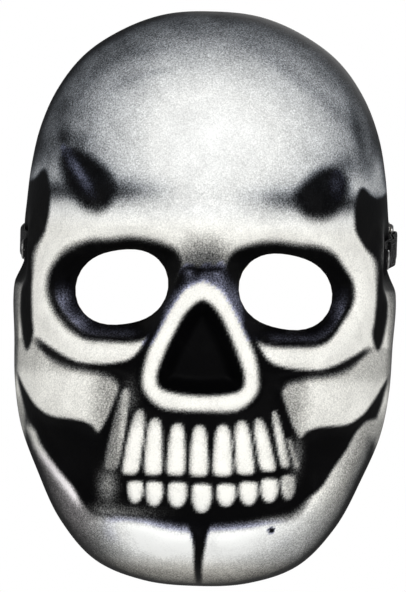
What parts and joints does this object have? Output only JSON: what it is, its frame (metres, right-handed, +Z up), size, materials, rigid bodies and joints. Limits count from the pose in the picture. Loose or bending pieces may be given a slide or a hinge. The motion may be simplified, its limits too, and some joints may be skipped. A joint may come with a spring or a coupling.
{
  "type": "latex halloween mask",
  "caption": "Moulded latex skull face mask with open eye holes, foam pads inside and an adjustable elastic head strap riveted at the temples.",
  "frame": {"origin": "midway between the two strap rivets, on the axis that the strap swings about, inside the hollow where the wearer's head goes", "axes": "+Z up as worn, the face looks along -Y, +X to the right of somebody who looks at the face"},
  "size_m": [0.1741, 0.2337, 0.26],
  "materials": {
    "painted_latex": "satin latex skin, airbrushed bone white, grey and black",
    "foam": "open-cell foam",
    "patch_cloth": "plain woven cotton tape",
    "nickel": "nickel-plated",
    "elastic": "ribbed woven elastic",
    "thread": "polyester sewing thread",
    "black_plastic": "moulded acetal"
  },
  "bodies": {
    "mask": {"mask_shell": "painted_latex", "forehead_pad": "foam", "left_cheek_pad": "foam", "right_cheek_pad": "foam", "left_anchor_patch": "patch_cloth", "right_anchor_patch": "patch_cloth", "left_washer": "nickel", "right_washer": "nickel", "left_rivet_cap": "nickel", "right_rivet_cap": "nickel", "left_rivet_post": "nickel", "right_rivet_post": "nickel"},
    "strap": {"elastic_band": "elastic", "ring_tab": "elastic", "band_ring": "nickel", "tail_bar_tack": "thread"},
    "adjuster": {"tri_glide": "black_plastic"}
  },
  "joints": [
    {"name": "strap_swing", "type": "hinge", "parent": "mask", "child": "strap", "pos_m": [0, 0, 0], "axis": [1, 0, 0], "range_deg": [-10, 70]},
    {"name": "adjuster_slide", "type": "slide", "parent": "strap", "child": "adjuster", "axis": [-0.1478, 0.974, 0.1717], "range_m": [-0.01, 0.012]}
  ]
}
